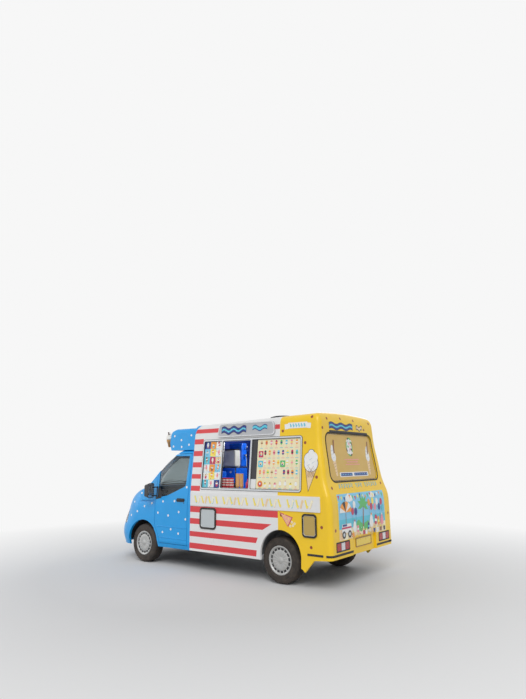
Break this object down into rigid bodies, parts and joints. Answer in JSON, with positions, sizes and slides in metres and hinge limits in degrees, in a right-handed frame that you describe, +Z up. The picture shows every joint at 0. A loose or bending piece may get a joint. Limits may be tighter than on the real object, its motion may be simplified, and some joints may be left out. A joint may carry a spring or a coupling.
{
  "type": "ice cream truck",
  "caption": "Ice cream truck on a panel van cab: coach body with side serving hatch, menu windows, roof pod, hinged doors and bonnet, steered and turning wheels.",
  "frame": {"origin": "on the ground, on the centre line, under the middle of the bounding box", "axes": "+X the van's left side with the serving hatch, -Y forward, +Z up"},
  "size_m": [2.48, 5.3268, 2.7302],
  "materials": {
    "blue_paint": "gloss azure blue paint",
    "white_paint": "gloss white paint",
    "yellow_paint": "gloss yellow paint",
    "black_trim": "grained black plastic",
    "clear_glass": "clear safety glass",
    "lamp_lens": "clear lamp lens",
    "red_lens": "red lamp lens",
    "aluminium": "anodised extrusion",
    "chassis_black": "black chassis paint",
    "cast_metal": "rough casting",
    "tyre_rubber": "black tyre rubber",
    "wheel_silver": "silver wheel paint",
    "sign_grey": "silver grey board",
    "steel": "brushed stainless steel",
    "seat_cloth": "dark woven cloth",
    "dash_plastic": "dark grained plastic",
    "counter_white": "white laminate"
  },
  "bodies": {
    "van_body": {"cab_shell": "blue_paint", "front_bumper": "blue_paint", "front_grille": "black_trim", "headlamp_left": "lamp_lens", "headlamp_right": "lamp_lens", "windscreen": "clear_glass", "high_top": "blue_paint", "coach_side_left": "white_paint", "coach_side_right": "white_paint", "coach_roof": "white_paint", "coach_rear": "yellow_paint", "rear_window": "clear_glass", "tail_lamp_left": "red_lens", "tail_lamp_right": "red_lens", "coach_bulkhead": "white_paint", "coach_floor": "steel", "serving_frame": "aluminium", "menu_pane_front": "clear_glass", "menu_pane_rear": "clear_glass", "side_window_right": "clear_glass", "sign_board_left": "sign_grey", "sign_board_right": "sign_grey", "roof_vent": "black_trim", "cab_floor": "chassis_black", "chassis_frame": "chassis_black", "front_crossmember": "chassis_black", "engine_block": "cast_metal", "rear_axle": "chassis_black", "serving_counter": "counter_white", "soft_serve_machine": "steel", "driver_seat": "seat_cloth", "passenger_seat": "seat_cloth", "dashboard": "dash_plastic", "steering_wheel": "black_trim"},
    "door_left": {"door_left": "blue_paint", "door_glass_left": "clear_glass", "mirror_left": "black_trim"},
    "door_right": {"door_right": "blue_paint", "door_glass_right": "clear_glass", "mirror_right": "black_trim"},
    "bonnet": {"bonnet": "blue_paint"},
    "steering_knuckle_left": {"knuckle_left": "cast_metal"},
    "steering_knuckle_right": {"knuckle_right": "cast_metal"},
    "front_wheel_left": {"wheel_front_left": "wheel_silver", "tyre_front_left": "tyre_rubber"},
    "front_wheel_right": {"wheel_front_right": "wheel_silver", "tyre_front_right": "tyre_rubber"},
    "rear_wheel_left": {"wheel_rear_left": "wheel_silver", "tyre_rear_left": "tyre_rubber"},
    "rear_wheel_right": {"wheel_rear_right": "wheel_silver", "tyre_rear_right": "tyre_rubber"}
  },
  "joints": [
    {"name": "door_left_hinge", "type": "hinge", "parent": "van_body", "child": "door_left", "pos_m": [1.015, -1.368, 1], "axis": [0, 0, -1], "range_deg": [0, 60]},
    {"name": "door_right_hinge", "type": "hinge", "parent": "van_body", "child": "door_right", "pos_m": [-1.015, -1.368, 1], "axis": [0, 0, 1], "range_deg": [0, 60]},
    {"name": "bonnet_hinge", "type": "hinge", "parent": "van_body", "child": "bonnet", "pos_m": [0, -1.765, 1.428], "axis": [-1, 0, 0], "range_deg": [0, 55]},
    {"name": "steer_left", "type": "hinge", "parent": "van_body", "child": "steering_knuckle_left", "pos_m": [0.8, -1.643, 0.355], "axis": [0, 0, 1], "range_deg": [-35, 35]},
    {"name": "steer_right", "type": "hinge", "parent": "van_body", "child": "steering_knuckle_right", "pos_m": [-0.8, -1.643, 0.355], "axis": [0, 0, 1], "range_deg": [-35, 35]},
    {"name": "front_wheel_left_spin", "type": "hinge", "parent": "steering_knuckle_left", "child": "front_wheel_left", "pos_m": [0.866, -1.643, 0.355], "axis": [1, 0, 0], "continuous": true},
    {"name": "front_wheel_right_spin", "type": "hinge", "parent": "steering_knuckle_right", "child": "front_wheel_right", "pos_m": [-0.866, -1.643, 0.355], "axis": [1, 0, 0], "continuous": true},
    {"name": "rear_wheel_left_spin", "type": "hinge", "parent": "van_body", "child": "rear_wheel_left", "pos_m": [0.866, 1.657, 0.355], "axis": [1, 0, 0], "continuous": true},
    {"name": "rear_wheel_right_spin", "type": "hinge", "parent": "van_body", "child": "rear_wheel_right", "pos_m": [-0.866, 1.657, 0.355], "axis": [1, 0, 0], "continuous": true}
  ],
  "couplings": [
    {"joint": "steer_right", "follows": "steer_left", "ratio": 1}
  ]
}
